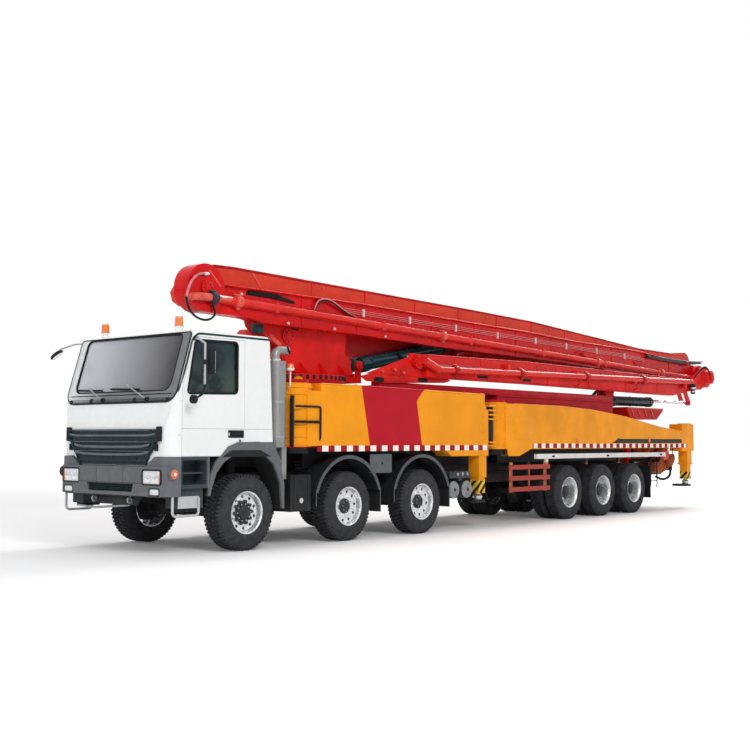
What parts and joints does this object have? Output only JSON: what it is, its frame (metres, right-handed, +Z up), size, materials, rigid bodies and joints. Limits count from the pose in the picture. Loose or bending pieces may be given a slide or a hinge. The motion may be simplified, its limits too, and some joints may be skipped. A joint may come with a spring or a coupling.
{
  "type": "concrete pump truck",
  "caption": "Long six-axle concrete pump truck, red boom folded over a white cab, orange support legs stowed along a crimson deck.",
  "frame": {"origin": "on the ground, midway between the front bumper and the boom's tail and midway between the mirrors", "axes": "+X towards the cab's front, +Y towards the driver's left, +Z up"},
  "size_m": [17.3998, 2.98, 4.1298],
  "materials": {
    "frame_paint": "gloss paint",
    "iron": "rough",
    "cab_white": "gloss paint",
    "glass": "clear",
    "trim": "matte",
    "grille_dark": "gloss",
    "plastic_grey": "matte",
    "lamp_lens": "gloss",
    "black_plastic": "matte",
    "bright_steel": "brushed",
    "crimson": "gloss paint",
    "orange": "gloss paint",
    "rail_cream": "gloss paint",
    "hopper_rust": "gloss paint",
    "boom_red": "gloss paint",
    "tyre": "matte",
    "jack_paint": "gloss paint",
    "cylinder_teal": "gloss paint",
    "chrome_rod": "polished"
  },
  "bodies": {
    "truck": {"chassis_frame": "frame_paint", "engine": "iron", "axles": "iron", "cab_shell": "cab_white", "windscreen": "glass", "cab_interior": "trim", "grille": "grille_dark", "bumper": "plastic_grey", "lamps": "lamp_lens", "front_fenders": "plastic_grey", "axle_fenders": "black_plastic", "mirror_right": "black_plastic", "exhaust": "bright_steel", "side_boxes": "plastic_grey", "deck_body": "crimson", "side_guards": "rail_cream", "hopper": "hopper_rust", "pump_unit": "iron", "boom_rest": "boom_red"},
    "door_left_body": {"door_left": "cab_white", "mirror_left": "black_plastic"},
    "door_right_body": {"door_right": "cab_white"},
    "steer_1_left_body": {"knuckle_1_left": "iron"},
    "steer_1_right_body": {"knuckle_1_right": "iron"},
    "steer_2_left_body": {"knuckle_2_left": "iron"},
    "steer_2_right_body": {"knuckle_2_right": "iron"},
    "steer_3_left_body": {"knuckle_3_left": "iron"},
    "steer_3_right_body": {"knuckle_3_right": "iron"},
    "wheel_1_left_body": {"wheel_1_left": "tyre"},
    "wheel_1_right_body": {"wheel_1_right": "tyre"},
    "wheel_2_left_body": {"wheel_2_left": "tyre"},
    "wheel_2_right_body": {"wheel_2_right": "tyre"},
    "wheel_3_left_body": {"wheel_3_left": "tyre"},
    "wheel_3_right_body": {"wheel_3_right": "tyre"},
    "wheel_4_left_body": {"wheel_4_left": "tyre"},
    "wheel_4_right_body": {"wheel_4_right": "tyre"},
    "wheel_5_left_body": {"wheel_5_left": "tyre"},
    "wheel_5_right_body": {"wheel_5_right": "tyre"},
    "wheel_6_left_body": {"wheel_6_left": "tyre"},
    "wheel_6_right_body": {"wheel_6_right": "tyre"},
    "front_arm_left_body": {"front_arm_left": "orange"},
    "front_jack_left_body": {"front_jack_left": "jack_paint"},
    "front_arm_right_body": {"front_arm_right": "orange"},
    "front_jack_right_body": {"front_jack_right": "jack_paint"},
    "rear_arm_left_body": {"rear_arm_left": "orange"},
    "rear_jack_left_body": {"rear_jack_left": "jack_paint"},
    "rear_arm_right_body": {"rear_arm_right": "orange"},
    "rear_jack_right_body": {"rear_jack_right": "jack_paint"},
    "grate_body": {"hopper_grate": "iron"},
    "turret_body": {"turret": "boom_red"},
    "boom_1_body": {"boom_section_1": "boom_red", "fold_barrel": "cylinder_teal"},
    "boom_2_body": {"boom_section_2": "boom_red"},
    "boom_3_body": {"boom_section_3": "boom_red"},
    "boom_4_body": {"boom_section_4": "boom_red"},
    "boom_5_body": {"boom_section_5": "boom_red"},
    "lift_barrels_body": {"lift_barrels": "cylinder_teal"},
    "lift_rods_body": {"lift_rods": "chrome_rod"},
    "fold_rod_body": {"fold_rod": "chrome_rod"},
    "fold_rocker_body": {"fold_rocker": "boom_red"}
  },
  "joints": [
    {"name": "door_left_hinge", "type": "hinge", "parent": "truck", "child": "door_left_body", "pos_m": [8.48, 1.24, 1.84], "axis": [0, 0, -1], "range_deg": [0, 75]},
    {"name": "door_right_hinge", "type": "hinge", "parent": "truck", "child": "door_right_body", "pos_m": [8.48, -1.24, 1.84], "axis": [0, 0, 1], "range_deg": [0, 75]},
    {"name": "steer_1_left", "type": "hinge", "parent": "truck", "child": "steer_1_left_body", "pos_m": [7.25, 0.9, 0.536], "axis": [0, 0, 1], "range_deg": [-35, 35]},
    {"name": "steer_1_right", "type": "hinge", "parent": "truck", "child": "steer_1_right_body", "pos_m": [7.25, -0.9, 0.536], "axis": [0, 0, 1], "range_deg": [-35, 35]},
    {"name": "steer_2_left", "type": "hinge", "parent": "truck", "child": "steer_2_left_body", "pos_m": [5.102, 0.9, 0.536], "axis": [0, 0, 1], "range_deg": [-27.65, 27.65]},
    {"name": "steer_2_right", "type": "hinge", "parent": "truck", "child": "steer_2_right_body", "pos_m": [5.102, -0.9, 0.536], "axis": [0, 0, 1], "range_deg": [-27.65, 27.65]},
    {"name": "steer_3_left", "type": "hinge", "parent": "truck", "child": "steer_3_left_body", "pos_m": [3.265, 0.9, 0.536], "axis": [0, 0, 1], "range_deg": [-21, 21]},
    {"name": "steer_3_right", "type": "hinge", "parent": "truck", "child": "steer_3_right_body", "pos_m": [3.265, -0.9, 0.536], "axis": [0, 0, 1], "range_deg": [-21, 21]},
    {"name": "wheel_1_left_spin", "type": "hinge", "parent": "steer_1_left_body", "child": "wheel_1_left_body", "pos_m": [7.25, 1.055, 0.536], "axis": [0, 1, 0], "continuous": true},
    {"name": "wheel_1_right_spin", "type": "hinge", "parent": "steer_1_right_body", "child": "wheel_1_right_body", "pos_m": [7.25, -1.055, 0.536], "axis": [0, 1, 0], "continuous": true},
    {"name": "wheel_2_left_spin", "type": "hinge", "parent": "steer_2_left_body", "child": "wheel_2_left_body", "pos_m": [5.102, 1.055, 0.536], "axis": [0, 1, 0], "continuous": true},
    {"name": "wheel_2_right_spin", "type": "hinge", "parent": "steer_2_right_body", "child": "wheel_2_right_body", "pos_m": [5.102, -1.055, 0.536], "axis": [0, 1, 0], "continuous": true},
    {"name": "wheel_3_left_spin", "type": "hinge", "parent": "steer_3_left_body", "child": "wheel_3_left_body", "pos_m": [3.265, 1.055, 0.536], "axis": [0, 1, 0], "continuous": true},
    {"name": "wheel_3_right_spin", "type": "hinge", "parent": "steer_3_right_body", "child": "wheel_3_right_body", "pos_m": [3.265, -1.055, 0.536], "axis": [0, 1, 0], "continuous": true},
    {"name": "wheel_4_left_spin", "type": "hinge", "parent": "truck", "child": "wheel_4_left_body", "pos_m": [-1.489, 0.92, 0.536], "axis": [0, 1, 0], "continuous": true},
    {"name": "wheel_4_right_spin", "type": "hinge", "parent": "truck", "child": "wheel_4_right_body", "pos_m": [-1.489, -0.92, 0.536], "axis": [0, 1, 0], "continuous": true},
    {"name": "wheel_5_left_spin", "type": "hinge", "parent": "truck", "child": "wheel_5_left_body", "pos_m": [-2.839, 0.92, 0.536], "axis": [0, 1, 0], "continuous": true},
    {"name": "wheel_5_right_spin", "type": "hinge", "parent": "truck", "child": "wheel_5_right_body", "pos_m": [-2.839, -0.92, 0.536], "axis": [0, 1, 0], "continuous": true},
    {"name": "wheel_6_left_spin", "type": "hinge", "parent": "truck", "child": "wheel_6_left_body", "pos_m": [-4.189, 0.92, 0.536], "axis": [0, 1, 0], "continuous": true},
    {"name": "wheel_6_right_spin", "type": "hinge", "parent": "truck", "child": "wheel_6_right_body", "pos_m": [-4.189, -0.92, 0.536], "axis": [0, 1, 0], "continuous": true},
    {"name": "front_arm_left_swing", "type": "hinge", "parent": "truck", "child": "front_arm_left_body", "pos_m": [6.06, 0.955, 1.93], "axis": [0, 0, -1], "range_deg": [0, 90]},
    {"name": "front_jack_left_slide", "type": "slide", "parent": "front_arm_left_body", "child": "front_jack_left_body", "axis": [0, 0, -1], "range_m": [0, 0.445]},
    {"name": "front_arm_right_swing", "type": "hinge", "parent": "truck", "child": "front_arm_right_body", "pos_m": [6.06, -0.955, 1.93], "axis": [0, 0, 1], "range_deg": [0, 90]},
    {"name": "front_jack_right_slide", "type": "slide", "parent": "front_arm_right_body", "child": "front_jack_right_body", "axis": [0, 0, -1], "range_m": [0, 0.445]},
    {"name": "rear_arm_left_swing", "type": "hinge", "parent": "truck", "child": "rear_arm_left_body", "pos_m": [0.8, 0.955, 1.82], "axis": [0, 0, -1], "range_deg": [0, 75]},
    {"name": "rear_jack_left_slide", "type": "slide", "parent": "rear_arm_left_body", "child": "rear_jack_left_body", "axis": [0, 0, -1], "range_m": [0, 0.495]},
    {"name": "rear_arm_right_swing", "type": "hinge", "parent": "truck", "child": "rear_arm_right_body", "pos_m": [0.8, -0.955, 1.82], "axis": [0, 0, 1], "range_deg": [0, 75]},
    {"name": "rear_jack_right_slide", "type": "slide", "parent": "rear_arm_right_body", "child": "rear_jack_right_body", "axis": [0, 0, -1], "range_m": [0, 0.495]},
    {"name": "hopper_grate_hinge", "type": "hinge", "parent": "truck", "child": "grate_body", "pos_m": [-5.94, 0, 1.5153], "axis": [0, 1, 0], "range_deg": [0, 28]},
    {"name": "slew", "type": "hinge", "parent": "truck", "child": "turret_body", "pos_m": [5.1, 0, 2.51], "axis": [0, 0, 1], "range_deg": [-85, 110]},
    {"name": "boom_lift", "type": "hinge", "parent": "turret_body", "child": "boom_1_body", "pos_m": [5.75, 0, 3.18], "axis": [0, 1, 0], "range_deg": [0, 87]},
    {"name": "boom_2_unfold", "type": "hinge", "parent": "boom_1_body", "child": "boom_2_body", "pos_m": [-8.25, 0.38, 3.46], "axis": [0, -1, 0], "range_deg": [0, 180]},
    {"name": "boom_3_unfold", "type": "hinge", "parent": "boom_2_body", "child": "boom_3_body", "pos_m": [7.7, 0.68, 3.71], "axis": [0, 1, 0], "range_deg": [0, 180]},
    {"name": "boom_4_unfold", "type": "hinge", "parent": "boom_3_body", "child": "boom_4_body", "pos_m": [-8.4, 1, 3.13], "axis": [0, -1, 0], "range_deg": [0, 180]},
    {"name": "boom_5_unfold", "type": "hinge", "parent": "boom_4_body", "child": "boom_5_body", "pos_m": [3.05, 0.96, 2.9], "axis": [0, 1, 0], "range_deg": [0, 150]},
    {"name": "lift_barrel_swing", "type": "hinge", "parent": "turret_body", "child": "lift_barrels_body", "pos_m": [4.05, 0, 2.8], "axis": [0, 1, 0], "range_deg": [0, 97.6]},
    {"name": "lift_rod_slide", "type": "slide", "parent": "lift_barrels_body", "child": "lift_rods_body", "axis": [-0.9813, 0, 0.1926], "range_m": [0, 2.2971]},
    {"name": "fold_rod_slide", "type": "slide", "parent": "boom_1_body", "child": "fold_rod_body", "axis": [1, 0, -0.0098], "range_m": [0, 0.5635]},
    {"name": "fold_rocker_hinge", "type": "hinge", "parent": "boom_1_body", "child": "fold_rocker_body", "pos_m": [-8.2, 0.38, 2.96], "axis": [0, -1, 0], "range_deg": [0, 60]}
  ],
  "couplings": [
    {"joint": "steer_1_right", "follows": "steer_1_left", "ratio": 1},
    {"joint": "steer_2_left", "follows": "steer_1_left", "ratio": 0.79},
    {"joint": "steer_2_right", "follows": "steer_1_left", "ratio": 0.79},
    {"joint": "steer_3_left", "follows": "steer_1_left", "ratio": 0.6},
    {"joint": "steer_3_right", "follows": "steer_1_left", "ratio": 0.6},
    {"joint": "boom_2_unfold", "follows": "boom_lift", "ratio": 2.0689},
    {"joint": "lift_barrel_swing", "follows": "boom_lift", "ratio": 1.1218},
    {"joint": "lift_rod_slide", "follows": "boom_lift", "m_per_rad": 1.5128},
    {"joint": "fold_rod_slide", "follows": "boom_lift", "m_per_rad": 0.3711},
    {"joint": "fold_rocker_hinge", "follows": "boom_lift", "ratio": 0.6896}
  ]
}
